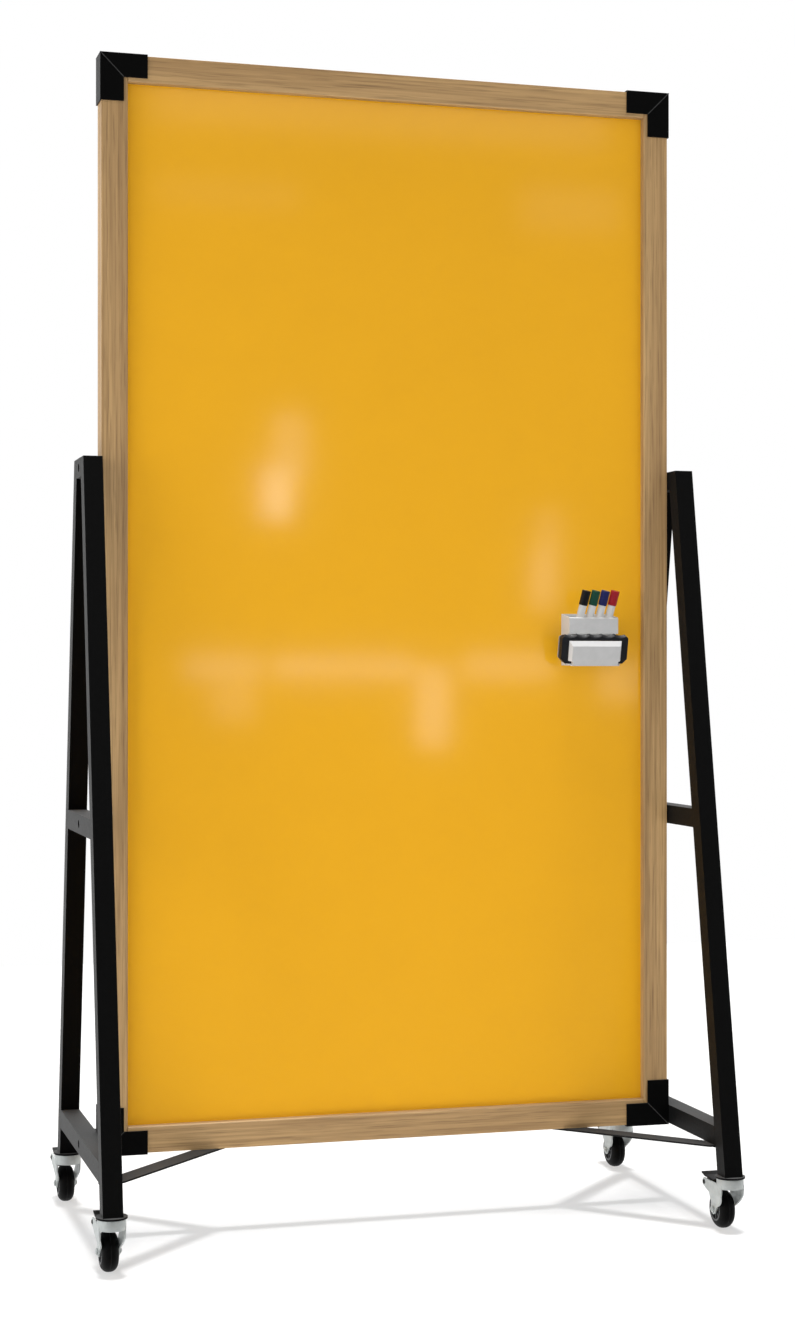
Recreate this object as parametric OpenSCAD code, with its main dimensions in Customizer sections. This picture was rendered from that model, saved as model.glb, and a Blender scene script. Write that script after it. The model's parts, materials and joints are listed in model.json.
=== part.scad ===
// Rolling writing board: an enamelled panel in a wooden frame, held upright between
// two square-tube side frames that stand on four swivel casters with brakes.
// Millimetres, +Z up, floor at z = 0, the board's front faces -Y.

/* [Board] */
// Width over the wooden frame
board_w = 1000; // [850:10:1200]
// Height over the wooden frame
board_h = 1812; // [1500:4:2000]
// Thickness of the wooden frame
board_t = 42; // [38:1:50]
// Height of the wooden frame above the floor
board_z = 140; // [130:1:170]
// Face width of the stiles and rails
rail_w = 44; // [42:1:60]
// Bevel along the frame's inner edges
edge_bevel = 2; // [1:0.5:4]
// Thickness of the panel's core
core_t = 12.4; // [9:0.2:16]
// Thickness of each enamelled sheet
sheet_t = 0.8; // [0.5:0.1:1.5]
// Depth of the groove that holds the core
groove_d = 10; // [6:1:12]

/* [Corner brackets] */
// Thickness of the folded plate
bracket_t = 2.5; // [1.5:0.5:4]
// Length of each arm from the outer corner
bracket_arm = 79; // [65:1:110]
// Width of each arm's band
bracket_band = 39.5; // [32:0.5:42]
// Width and depth of the mitre line on the face
bracket_line = 0.9; // [0.5:0.1:1.2]

/* [Side frames] */
// Width of the square tube
tube = 32; // [28:1:38]
// Wall of the square tube
tube_wall = 2; // [1.5:0.5:3]
// Height of the top of the legs
frame_top = 1287; // [1000:1:1500]
// Distance of each leg's axis from the middle, at the top
top_spread = 36.4; // [30:0.2:60]
// Distance of each leg's axis from the middle, at the foot plate
foot_spread = 249; // [220:1:300]
// Height of the middle cross bar's centre
mid_bar_z = 684; // [500:1:900]
// Diameter of the round foot plate
foot_plate_d = 50; // [46:1:60]
// Thickness of the round foot plate
foot_plate_t = 3.2; // [2:0.2:6]
// Diameter of the nut welded on the foot plate
foot_nut_d = 18; // [16:1:22]
// Height of the nut welded on the foot plate
foot_nut_h = 10; // [6:1:14]

/* [Fixings] */
// Diameter of the side bolts
bolt_d = 8; // [6:1:8]
// Diameter of the side bolts' heads
bolt_head_d = 13; // [11:0.5:13]
// Height of the side bolts' heads
bolt_head_h = 8; // [5:1:10]
// Width across the flats of the bolts' key socket
bolt_key = 6; // [4:0.5:7]
// Depth of the bolts' key socket
bolt_key_h = 4; // [2:0.5:5]
// Length of bolt inside the threaded insert
bolt_reach = 18; // [12:1:20]
// Hole in a bar's outer wall that lets a bolt's head in
access_d = 14; // [13.5:0.5:18]
// Hole in a bar's inner wall that a bolt passes through
bolt_hole_d = 8.6; // [8.4:0.1:10]
// Diameter of the threaded inserts
insert_d = 12; // [10:1:14]
// Length of the threaded inserts
insert_l = 20; // [20:1:26]
// Diameter of the spacer washers
spacer_d = 22; // [18:1:28]

/* [Braces] */
// Width of the flat braces
brace_w = 34; // [26:1:38]
// Thickness of the flat braces
brace_t = 3; // [2:0.5:5]
// Distance from the middle to where a pair of braces meets
brace_x = 306; // [240:2:340]
// Diameter of the brace screws
screw_d = 5; // [4:0.5:6]
// Diameter of the brace screws' heads
screw_head_d = 9; // [8:0.5:11]
// Height of the brace screws' heads
screw_head_h = 3; // [2:0.5:4]
// Length of the screws inside the wood
screw_in_wood = 18; // [12:1:24]
// Length of the screws inside the low bar
screw_in_bar = 8; // [5:1:12]
// Distance of the inner screws from the middle
screw_inner_y = 12; // [9:0.5:15]
// Distance of the outer screws from the leg
screw_leg_gap = 12; // [10:0.5:16]
// Distance of the outer screws from the bar's inner face
screw_bar_inset = 8; // [6.5:0.5:12]

/* [Casters] */
// Height from the floor to the foot plate
caster_h = 90.4; // [88:0.2:100]
// Diameter of the wheel
wheel_d = 64; // [58:1:66]
// Width of the tyre
wheel_w = 27; // [25:0.2:27.4]
// Rounding of the tyre's shoulders
tread_r = 12; // [6:0.5:13]
// Diameter of the hub under the tyre
hub_d = 40; // [34:1:46]
// Thickness of the hub's rim
hub_rim = 3; // [2:0.5:4]
// Thickness of the hub's web
hub_web = 6; // [4:0.5:10]
// Diameter of the hub's boss
hub_boss_d = 16; // [12:1:20]
// Diameter of the axle
axle_d = 6; // [5:0.5:8]
// Width across the corners of the axle's nuts
axle_nut_d = 11; // [10:0.5:14]
// Height of the axle's nuts
axle_nut_h = 3; // [2:0.5:5]
// Length of axle beyond each nut
axle_over = 1; // [0.5:0.5:2]
// Distance of the axle behind the swivel axis
trail = 32; // [26:1:36]
// Diameter of the swivel housing
housing_d = 45; // [42:1:46]
// Height of the swivel housing
housing_h = 16.5; // [13:0.5:18]
// Thickness of the fork's plate
fork_t = 2.5; // [2:0.25:3.5]
// Clear width inside the fork at the wheel
fork_gap = 28.4; // [28:0.2:31]
// Clear width inside the fork under the housing
fork_top_gap = 37; // [34:0.5:39]
// Height above the axle where the fork's sides start to bend outwards
fork_bend_up = 11; // [10:0.5:14]
// Height of the fork's upright sides under the housing
fork_upright_h = 13.5; // [9:0.5:18]
// Reach of the fork's front edge before the swivel axis
fork_front = 10; // [8:0.5:14]
// Height above the axle that the fork's front edge curves towards
fork_knee_up = 18; // [14:1:24]
// Height of the fork's front edge above the axle, halfway to it
fork_waist_up = 6.4; // [4:0.2:10]
// Radius of the fork's boss round the axle
fork_boss_r = 8.5; // [7:0.5:10]
// Diameter of the stem that the fork swivels on
stem_d = 10; // [8:0.5:12]
// Length of stem above the welded nut
stem_over = 5; // [2:1:10]
// Diameter of the stem's head
stem_head_d = 17; // [15:0.5:22]
// Height of the stem's head
stem_head_h = 5; // [3:0.5:6]

/* [Brakes] */
// Distance of the pedal's pin behind the swivel axis
pin_y = 60; // [57:0.5:63]
// Depth of the pedal's pin under the foot plate
pin_drop = 18; // [16.4:0.2:19.4]
// Diameter of the pedal's pin
pin_d = 5; // [4:0.5:6]
// Diameter of the pin's heads
pin_head_d = 8; // [7:0.5:10]
// Height of the pin's heads
pin_head_h = 1.8; // [1:0.2:3]
// Radius of the fork's ears round the pin
ear_r = 7; // [6:0.5:7.5]
// Radius of the pedal's barrel round the pin
pedal_barrel_r = 6; // [5:0.5:6.5]
// Width of the pedal
pedal_w = 34; // [30:1:40]
// Thickness of the pedal
pedal_t = 2.6; // [2:0.2:3.2]
// Reach of the pedal's rear edge behind the swivel axis
pedal_rear = 80; // [76:1:88]
// Reach of the pedal's front edge behind the swivel axis
pedal_front = 28; // [27:0.5:32]
// Rise of the pedal's upturned rear
pedal_rise = 3.4; // [1:0.2:5]
// Width of the brake shoe
shoe_w = 26; // [18:1:27]
// Thickness of the brake shoe
shoe_t = 8; // [5:0.5:9]
// Angle that the pedal turns when pressed
press_angle = 12; // [8:1:14]

/* [Marker caddy] */
// Distance of the caddy's middle from the sheet's right edge
caddy_inset = 103.5; // [80:0.5:450]
// Height of the caddy's underside above the floor
caddy_z = 946; // [600:1:1400]
// Wall of the caddy
caddy_wall = 2; // [1.6:0.2:2.4]
// Thickness of the caddy's back
caddy_back_t = 3; // [2.6:0.2:4]
// Width of the cup
cup_w = 90; // [89:1:110]
// Depth of the cup from the board
cup_out = 41; // [39:1:50]
// Height of the cup's floor above the underside
cup_floor = 55; // [53:1:64]
// Height of the cup's front edge above the underside
cup_front = 83; // [78:1:90]
// Height of the cup's back edge above the underside
cup_back = 90; // [85:1:97]
// Bevel on the cup's front edge
cup_bevel = 1.6; // [0.4:0.2:1.6]
// Depth of the well at its bottom
well_out = 18.4; // [18:0.2:24]
// Tilt of the tray, the eraser and the markers
tray_tilt = 12.6; // [8:0.2:14]
// Width of the tray's front plate
tray_w = 96; // [84:1:120]
// Height of the tray's front plate
tray_h = 42.4; // [34:0.2:46]
// Thickness of the tray's front plate
tray_t = 9; // [8.5:0.5:11]
// Height of the bevel at the plate's top
tray_bevel_h = 8; // [6:0.5:14]
// Width of the bevels at the plate's sides
tray_bevel_w = 4; // [2:0.5:6]
// Depth of the plate's bevels
tray_bevel_d = 7.6; // [4:0.2:8]
// Width of the notches at the plate's lower corners
tray_notch_w = 6.5; // [4:0.5:10]
// Height of the notches at the plate's lower corners
tray_notch_h = 5.5; // [3:0.5:10]
// Height of the eraser's pocket above the underside
pocket_up = 7.3; // [6.5:0.1:12]
// Diameter of the caddy's magnets
magnet_d = 16; // [10:1:18]
// Thickness of the caddy's magnets
magnet_t = 2; // [1:0.2:2.2]

/* [Eraser] */
// Length of the eraser
eraser_l = 122; // [112:1:140]
// Height of the eraser's ridge
eraser_h = 52.6; // [48:0.2:52.6]
// Thickness of the eraser with its felt
eraser_t = 20; // [16:0.5:22]
// Thickness of the eraser's felt
felt_t = 6; // [3:0.5:8]
// Depth of the eraser's slope before its ridge
eraser_slope_t = 5.5; // [3:0.5:7]
// Drop of the eraser's slope from its ridge to its front
eraser_drop_front = 4.2; // [2:0.2:8]
// Drop of the eraser's top from its ridge to its back
eraser_drop_back = 7; // [6.8:0.2:10]
// Length of the chamfers at the eraser's corners
eraser_chamfer = 8; // [4:0.5:10]
// Distance between the waves on the grip
wave_pitch = 23.2; // [20:0.2:26]
// Depth of the waves on the grip
wave_depth = 2.8; // [1:0.1:3.6]

/* [Markers] */
// Diameter of a marker's barrel
marker_d = 13.4; // [11:0.1:13.6]
// Length of a marker's barrel
marker_l = 104; // [96:1:120]
// Diameter of a marker's cap
cap_d = 15.4; // [14:0.1:16]
// Length of a marker's cap
cap_l = 26; // [24:1:34]
// Diameter of the barrel's neck inside the cap
neck_d = 10; // [8:0.1:10.6]
// Length of the barrel's neck inside the cap
neck_l = 14; // [8:1:15]
// Diameter of a marker's nib
nib_d = 4.6; // [3:0.1:6]
// Length of a marker's nib
nib_l = 6; // [4:0.5:7]
// Distance between markers
marker_pitch = 17.75; // [16.5:0.25:18]
// Place of the first marker's foot from the caddy's middle
marker_x = -35.6; // [-35.8:0.2:-33]
// Sideways lean of the markers
marker_lean = 10.4; // [4:0.2:11.6]

/* [Fits] */
// Radial clearance of pins and shafts that turn or slide
run_fit = 0.05; // [0.03:0.01:0.1]
// Radial clearance of pieces that are pressed or screwed together
seat_fit = 0.02; // [0.01:0.01:0.05]
// Gap between pieces that turn past each other
turn_gap = 0.4; // [0.3:0.1:0.8]
// Gap between the brake shoe and the tread when pressed
shoe_gap = 0.7; // [0.4:0.1:1]
// Gap round pieces that lie loose in the caddy
loose_gap = 0.4; // [0.3:0.1:0.6]
// Gap between a brace and its neighbours
brace_gap = 0.5; // [0.3:0.1:1]

/* [Hidden] */
$fn = 96;
casters = [["front_left", -1, -1], ["front_right", 1, -1], ["back_left", -1, 1], ["back_right", 1, 1]];
inks = [["black", "#1a1a1e"], ["green", "#123c30"], ["blue", "#1b2050"], ["red", "#84141f"]];
sides = [["left", 1], ["right", 0]];

cut = 1;
curve_steps = 12;
open_w = board_w - 2 * rail_w;
open_h = board_h - 2 * rail_w;
board_mid_z = board_z + board_h / 2;
sheet_face = core_t / 2 + sheet_t;
frame_in_x = board_w / 2 + bracket_t;
frame_mid_x = frame_in_x + tube / 2;
frame_out_x = frame_in_x + tube;
leg_foot_z = caster_h + foot_plate_t;
leg_slope = (foot_spread - top_spread) / (frame_top - leg_foot_z);
leg_lean = atan(leg_slope);
leg_half_y = tube / 2 / cos(leg_lean);
low_bar_z = board_z + tube / 2;
top_bar_z = frame_top - tube / 2;
bolt_heights = [low_bar_z, mid_bar_z, top_bar_z];
brace_z = board_z - brace_t;
leg_inner_y = leg_y(low_bar_z) - leg_half_y;
screw_outer = [frame_in_x + screw_bar_inset, leg_inner_y - screw_leg_gap];
brace_angle = atan2(leg_y(low_bar_z) - tube / 2, frame_mid_x - brace_x);
screw_inner = [brace_x + screw_inner_y / tan(brace_angle), screw_inner_y];
housing_top = caster_h - turn_gap;
housing_z = housing_top - housing_h;
wheel_r = wheel_d / 2;
pin_z = caster_h - pin_drop;
fork_out = fork_gap / 2 + fork_t;
fork_bend_z = wheel_r + fork_bend_up;
fork_upright_z = housing_z - fork_upright_h;
pin_out = fork_top_gap / 2 + fork_t;
stem_head_z = housing_top - fork_t - turn_gap - stem_head_h;
pedal_z = pin_z + ear_r + turn_gap;
pin_to_wheel = [trail - pin_y, wheel_r - pin_z];
shoe_angle = atan2(pin_to_wheel[1], pin_to_wheel[0]) + press_angle;
shoe_reach = norm(pin_to_wheel) - wheel_r - shoe_gap;
front_reach = foot_spread + max(foot_plate_d, housing_d) / 2;
rear_reach = foot_spread + pedal_rear;
board_mid_y = (front_reach - rear_reach) / 2;
caddy_x = open_w / 2 - caddy_inset;
tray_slope = tan(tray_tilt);
cup_slope = (cup_back - cup_front) / cup_out;
wall_level = caddy_wall / cos(tray_tilt);
pocket_out = well_out + tray_slope * pocket_up + loose_gap / cos(tray_tilt);
marker_r = marker_d / 2;
marker_back = 2 * loose_gap + caddy_wall + marker_r;
marker_drop = marker_r * sin(tray_tilt + marker_lean);
marker_foot = (caddy_wall + marker_drop + loose_gap - pocket_up - marker_back * sin(tray_tilt))
    / cos(tray_tilt);
ridge_t = eraser_t - eraser_slope_t;
felt_top = eraser_h - eraser_drop_back * (1 - felt_t / ridge_t);
wave_r = (wave_pitch * wave_pitch / 4 + wave_depth * wave_depth) / (2 * wave_depth);

function leg_y(z) = foot_spread - (z - leg_foot_z) * leg_slope;

// The point where a line from p meets the round boss at c from below
function boss_touch(p, c, r) =
    let (a = atan2(p[1] - c[1], p[0] - c[0]) + acos(r / norm(p - c)))
    c + r * [cos(a), sin(a)];

// Points of a curve from a to b that bends towards the corner c
function curve(a, c, b) =
    [for (k = [0 : curve_steps]) let (t = k / curve_steps) (1 - t) ^ 2 * a + 2 * t * (1 - t) * c + t ^ 2 * b];

// Brings the board's mid plane to its place behind the origin
module placed() {
    translate([0, board_mid_y, 0]) children();
}

module on_side(flip) {
    placed() mirror([flip, 0, 0]) children();
}

module at_caster(c) {
    placed() translate([c[1] * frame_mid_x, c[2] * foot_spread, 0]) children();
}

// Extrudes an outline drawn in Y and Z along X, about the middle
module along_x(width) {
    rotate([90, 0, 90]) linear_extrude(width, center = true) children();
}

// A round bar along X from x0 to x1
module bar_x(d, x0, x1) {
    translate([x0, 0, 0]) rotate([0, 90, 0]) cylinder(d = d, h = x1 - x0);
}

// Wooden frame

// Section of a stile or rail: grooved for the core and bevelled inside
module rail_section() {
    t = board_t / 2;
    g = core_t / 2;
    floor_x = rail_w - groove_d;
    polygon([[0, -t], [rail_w - edge_bevel, -t], [rail_w, edge_bevel - t], [rail_w, -g], [floor_x, -g],
        [floor_x, g], [rail_w, g], [rail_w, t - edge_bevel], [rail_w - edge_bevel, t], [0, t]]);
}

module stile(flip) {
    color("#a98758") on_side(flip) mirror([1, 0, 0]) difference() {
        translate([-board_w / 2, 0, board_z]) linear_extrude(board_h) rail_section();
        for (z = bolt_heights) translate([0, 0, z])
            bar_x(insert_d + 2 * seat_fit, -board_w / 2 - cut, insert_l - board_w / 2);
    }
}

// A rail with a stub tenon at each end that fills the stiles' grooves
module rail() {
    translate([open_w / 2, 0, board_z]) rotate([0, -90, 0]) linear_extrude(open_w) rail_section();
    translate([-open_w / 2 - groove_d, -core_t / 2, board_z])
        cube([open_w + 2 * groove_d, core_t, rail_w - groove_d]);
}

module top_rail() {
    color("#a98758") placed() translate([0, 0, 2 * board_mid_z]) mirror([0, 0, 1]) rail();
}

module bottom_rail() {
    color("#a98758") placed() difference() {
        rail();
        for (mx = [0, 1], my = [0, 1]) mirror([mx, 0, 0]) mirror([0, my, 0])
            translate([screw_inner[0], screw_inner[1], board_z - cut])
                cylinder(d = screw_d + 2 * seat_fit, h = screw_in_wood + cut);
    }
}

// Writing panel

module panel_core() {
    color("#8a7a62") placed() translate([0, 0, board_mid_z])
        cube([open_w + 2 * groove_d, core_t, open_h + 2 * groove_d], center = true);
}

module sheet(side) {
    color("#e3a62b") placed() translate([0, side * (core_t + sheet_t) / 2, board_mid_z])
        cube([open_w, sheet_t, open_h], center = true);
}

// Corner brackets

// A bracket about the lower left outer corner of the wood, with its arms along +X and +Z
module bracket_plate() {
    t = bracket_t;
    arm = bracket_arm - t;
    band = bracket_band - t;
    face = board_t / 2 + t;
    difference() {
        rotate([90, 0, 0]) linear_extrude(2 * face, center = true)
            polygon([[-t, -t], [arm, -t], [arm, band], [band, band], [band, arm], [-t, arm]]);
        translate([0, -board_t / 2, 0]) cube([bracket_arm, board_t, bracket_arm]);
        for (side = [-1, 1]) translate([0, side * face, 0]) rotate([0, -45, 0])
            cube([2 * bracket_band * sqrt(2), 2 * bracket_line, bracket_line], center = true);
    }
}

module bottom_bracket(flip) {
    color("#0b0b0b") on_side(flip) mirror([1, 0, 0]) translate([-board_w / 2, 0, board_z]) difference() {
        bracket_plate();
        translate([0, 0, low_bar_z - board_z]) bar_x(bolt_hole_d, -bracket_t - cut, cut);
    }
}

module top_bracket(flip) {
    color("#0b0b0b") on_side(flip) translate([board_w / 2, 0, board_z + board_h])
        mirror([0, 0, 1]) mirror([1, 0, 0]) bracket_plate();
}

// Side frames, drawn on the right

// A square bar along the front leg's axis, longer than the leg
module leg_line(size) {
    translate([frame_mid_x, -foot_spread, leg_foot_z]) rotate([-leg_lean, 0, 0])
        cube([size, size, 3 * frame_top], center = true);
}

module height_band(z0, z1) {
    translate([frame_mid_x - tube, -2 * foot_spread, z0]) cube([2 * tube, 4 * foot_spread, z1 - z0]);
}

// A slanted tube with a closed top, a round foot plate and a welded nut for the stem
module leg() {
    difference() {
        union() {
            difference() {
                intersection() {
                    leg_line(tube);
                    height_band(leg_foot_z, frame_top);
                }
                intersection() {
                    leg_line(tube - 2 * tube_wall);
                    height_band(leg_foot_z, frame_top - tube_wall);
                }
            }
            translate([frame_mid_x, -foot_spread, caster_h]) cylinder(d = foot_plate_d, h = foot_plate_t);
            translate([frame_mid_x, -foot_spread, caster_h])
                cylinder(d = foot_nut_d, h = foot_plate_t + foot_nut_h);
        }
        translate([frame_mid_x, -foot_spread, caster_h - cut])
            cylinder(d = stem_d + 2 * seat_fit, h = foot_plate_t + foot_nut_h + 2 * cut);
    }
}

module front_leg(flip) {
    color("#0b0b0b") on_side(flip) leg();
}

module back_leg(flip) {
    color("#0b0b0b") on_side(flip) mirror([0, 1, 0]) leg();
}

// A tube between the legs, cut to their slant, with a bolt hole and an access hole
module cross_bar(z) {
    length = 2 * leg_y(z);
    difference() {
        translate([frame_mid_x, 0, z]) cube([tube, length, tube], center = true);
        translate([frame_mid_x, 0, z])
            cube([tube - 2 * tube_wall, length + cut, tube - 2 * tube_wall], center = true);
        leg_line(tube);
        mirror([0, 1, 0]) leg_line(tube);
        translate([0, 0, z]) bar_x(bolt_hole_d, frame_in_x - cut, frame_mid_x);
        translate([0, 0, z]) bar_x(access_d, frame_mid_x, frame_out_x + cut);
    }
}

module top_bar(flip) {
    color("#0b0b0b") on_side(flip) cross_bar(top_bar_z);
}

module mid_bar(flip) {
    color("#0b0b0b") on_side(flip) cross_bar(mid_bar_z);
}

module low_bar(flip) {
    color("#0b0b0b") on_side(flip) difference() {
        cross_bar(low_bar_z);
        for (my = [0, 1]) mirror([0, my, 0]) translate([screw_outer[0], screw_outer[1], board_z - cut])
            cylinder(d = screw_d + 2 * seat_fit, h = tube_wall + 2 * cut);
    }
}

// A pair of flat bars from under the board to the low bar's ends
module braces(flip) {
    reach_x = frame_out_x - brace_gap;
    reach_y = leg_inner_y - brace_gap;
    color("#161616") on_side(flip) for (my = [0, 1]) mirror([0, my, 0])
        translate([0, 0, brace_z]) linear_extrude(brace_t) difference() {
            intersection() {
                translate([brace_x, 0]) rotate(brace_angle) translate([-brace_w, -brace_w / 2])
                    square([board_w, brace_w]);
                translate([0, brace_gap / 2]) square([reach_x, reach_y - brace_gap / 2]);
            }
            for (p = [screw_inner, screw_outer]) translate(p) circle(d = screw_d + 2 * seat_fit);
        }
}

// Fixings

module side_bolts() {
    color("#8d9091") for (flip = [0, 1], z = bolt_heights) on_side(flip) translate([0, 0, z]) difference() {
        union() {
            bar_x(bolt_d, board_w / 2 - bolt_reach, frame_in_x + tube_wall + cut);
            bar_x(bolt_head_d, frame_in_x + tube_wall, frame_in_x + tube_wall + bolt_head_h);
        }
        translate([frame_in_x + tube_wall + bolt_head_h - bolt_key_h, 0, 0]) rotate([0, 90, 0])
            cylinder(d = bolt_key / cos(30), h = bolt_key_h + cut, $fn = 6);
    }
}

module threaded_inserts() {
    color("#b0984e") for (flip = [0, 1], z = bolt_heights) on_side(flip) translate([0, 0, z]) difference() {
        bar_x(insert_d, board_w / 2 - insert_l, board_w / 2);
        bar_x(bolt_d + 2 * seat_fit, board_w / 2 - insert_l - cut, board_w / 2 + cut);
    }
}

module spacer_washers() {
    color("#1c1c1c") for (flip = [0, 1], z = [mid_bar_z, top_bar_z]) on_side(flip)
        translate([0, 0, z]) difference() {
            bar_x(spacer_d, board_w / 2, frame_in_x);
            bar_x(bolt_hole_d, board_w / 2 - cut, frame_in_x + cut);
        }
}

// A round-headed screw that points up from under a brace
module brace_screw(place, reach) {
    translate([place[0], place[1], brace_z - screw_head_h]) {
        cylinder(d = screw_head_d, h = screw_head_h);
        cylinder(d = screw_d, h = screw_head_h + brace_t + reach);
    }
}

module brace_screws() {
    color("#232323") for (flip = [0, 1], my = [0, 1]) on_side(flip) mirror([0, my, 0]) {
        brace_screw(screw_inner, screw_in_wood);
        brace_screw(screw_outer, screw_in_bar);
    }
}

// Casters, drawn about the swivel axis with the wheel trailing towards +Y

module caster_stems() {
    color("#9ea2a3") for (c = casters) at_caster(c) {
        translate([0, 0, stem_head_z]) cylinder(d = stem_head_d, h = stem_head_h);
        translate([0, 0, stem_head_z])
            cylinder(d = stem_d, h = leg_foot_z + foot_nut_h + stem_over - stem_head_z);
    }
}

// Side view of a fork plate: a curve down to the axle's boss and an ear for the pedal's pin
module fork_outline() {
    axle = [trail, wheel_r];
    knee = axle + [-trail - fork_front, fork_knee_up];
    waist = axle + [-trail / 2, fork_waist_up];
    difference() {
        union() {
            polygon(concat(curve([-fork_front, housing_z], knee, waist),
                [boss_touch(waist, axle, fork_boss_r), axle, axle + [fork_boss_r, 0],
                [trail + fork_boss_r, housing_z - 2 * ear_r], [pin_y, pin_z - ear_r],
                [pin_y, pin_z + ear_r], [-fork_front, pin_z + ear_r]]));
            translate(axle) circle(fork_boss_r);
            translate([pin_y, pin_z]) circle(ear_r);
        }
        translate(axle) circle(d = axle_d + 2 * seat_fit);
        translate([pin_y, pin_z]) circle(d = pin_d + 2 * seat_fit);
    }
}

// End view of a fork plate: close to the wheel below and bent out to the housing above
module fork_bend() {
    low = fork_gap / 2;
    high = fork_top_gap / 2;
    polygon([[low, 0], [low + fork_t, 0], [low + fork_t, fork_bend_z], [high + fork_t, fork_upright_z],
        [high + fork_t, caster_h], [high, caster_h], [high, fork_upright_z], [low, fork_bend_z]]);
}

module caster_fork() {
    color("#b5b9b8") difference() {
        union() {
            translate([0, 0, housing_z]) difference() {
                cylinder(d = housing_d, h = housing_h);
                translate([0, 0, -cut]) cylinder(d = housing_d - 2 * fork_t, h = housing_h - fork_t + cut);
            }
            for (flip = [0, 1]) mirror([flip, 0, 0]) intersection() {
                along_x(2 * housing_d) fork_outline();
                rotate([90, 0, 0]) linear_extrude(4 * pin_y, center = true) fork_bend();
            }
        }
        translate([0, 0, housing_z]) cylinder(d = stem_d + 2 * run_fit, h = housing_h + cut);
    }
}

// The axle with its nuts and the pedal's headed pin
module caster_pins() {
    color("#8f9394") translate([0, trail, wheel_r]) {
        bar_x(axle_d, -fork_out - axle_nut_h - axle_over, fork_out + axle_nut_h + axle_over);
        for (flip = [0, 1]) mirror([flip, 0, 0]) translate([fork_out, 0, 0]) rotate([0, 90, 0])
            cylinder(d = axle_nut_d, h = axle_nut_h, $fn = 6);
    }
    color("#141414") translate([0, pin_y, pin_z]) {
        bar_x(pin_d, -pin_out - pin_head_h / 2, pin_out + pin_head_h / 2);
        for (flip = [0, 1]) mirror([flip, 0, 0]) bar_x(pin_head_d, pin_out, pin_out + pin_head_h);
    }
}

module tyre_section() {
    inner = hub_d / 2 + seat_fit;
    half = wheel_w / 2;
    intersection() {
        union() {
            translate([0, tread_r - half]) square([wheel_r, wheel_w - 2 * tread_r]);
            translate([0, -half]) square([wheel_r - tread_r, wheel_w]);
            for (side = [-1, 1]) translate([wheel_r - tread_r, side * (half - tread_r)]) circle(tread_r);
        }
        translate([inner, -half]) square([wheel_r, wheel_w]);
    }
}

module caster_tyre() {
    color("#0c0c0c") translate([0, trail, wheel_r]) rotate([0, 90, 0]) rotate_extrude() tyre_section();
}

module caster_hub() {
    bore = axle_d / 2 + run_fit;
    boss_w = fork_gap - 2 * turn_gap;
    rim_r = hub_d / 2 - hub_rim;
    color("#2b2b2c") translate([0, trail, wheel_r]) rotate([0, 90, 0]) rotate_extrude() {
        translate([rim_r, -wheel_w / 2]) square([hub_rim, wheel_w]);
        translate([bore, -hub_web / 2]) square([hub_d / 2 - bore, hub_web]);
        translate([bore, -boss_w / 2]) square([hub_boss_d / 2 - bore, boss_w]);
    }
}

module pedal_outline() {
    lip_y = pin_y + ear_r;
    polygon([[pedal_front, pedal_z], [lip_y, pedal_z], [pedal_rear, pedal_z + pedal_rise],
        [pedal_rear, pedal_z + pedal_rise + pedal_t], [lip_y, pedal_z + pedal_t],
        [pedal_front, pedal_z + pedal_t]]);
}

// The pedal's barrel on the pin, its neck up to the plate and its brake shoe
module shoe_outline() {
    difference() {
        union() {
            translate([pin_y, pin_z]) circle(pedal_barrel_r);
            translate([pin_y - pedal_barrel_r, pin_z])
                square([2 * pedal_barrel_r, pedal_z + pedal_t / 2 - pin_z]);
            translate([pin_y, pin_z]) rotate(shoe_angle) {
                translate([0, -shoe_t / 2]) square([shoe_reach - shoe_t / 2, shoe_t]);
                translate([shoe_reach - shoe_t / 2, 0]) circle(d = shoe_t);
            }
        }
        translate([pin_y, pin_z]) circle(d = pin_d + 2 * run_fit);
    }
}

module caster_brake_pedal() {
    color("#181818") {
        along_x(pedal_w) pedal_outline();
        along_x(shoe_w) shoe_outline();
    }
}

// Marker caddy, with outlines drawn outwards from the sheet and upwards from the underside

module at_caddy() {
    placed() translate([caddy_x, -sheet_face, caddy_z]) children();
}

module caddy_outline(width) {
    rotate([90, 0, -90]) linear_extrude(width, center = true) children();
}

// The tilted frame of the eraser's pocket: -Y outwards across it, +Z up along it
module in_pocket() {
    at_caddy() translate([0, -pocket_out, pocket_up]) rotate([tray_tilt, 0, 0]) children();
}

module cup_outline() {
    polygon([[0, 0], [well_out, 0], [well_out + tray_slope * cup_floor, cup_floor], [cup_out, cup_floor],
        [cup_out, cup_front - cup_bevel], [cup_out - cup_bevel, cup_front + cup_bevel * cup_slope],
        [0, cup_back]]);
}

module cup_hollow() {
    w = caddy_wall;
    lip = cup_floor + w;
    polygon([[caddy_back_t, w], [well_out - wall_level + tray_slope * w, w],
        [well_out - wall_level + tray_slope * lip, lip], [cup_out - w, lip],
        [cup_out - w, cup_back + cut], [caddy_back_t, cup_back + cut]]);
}

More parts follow.
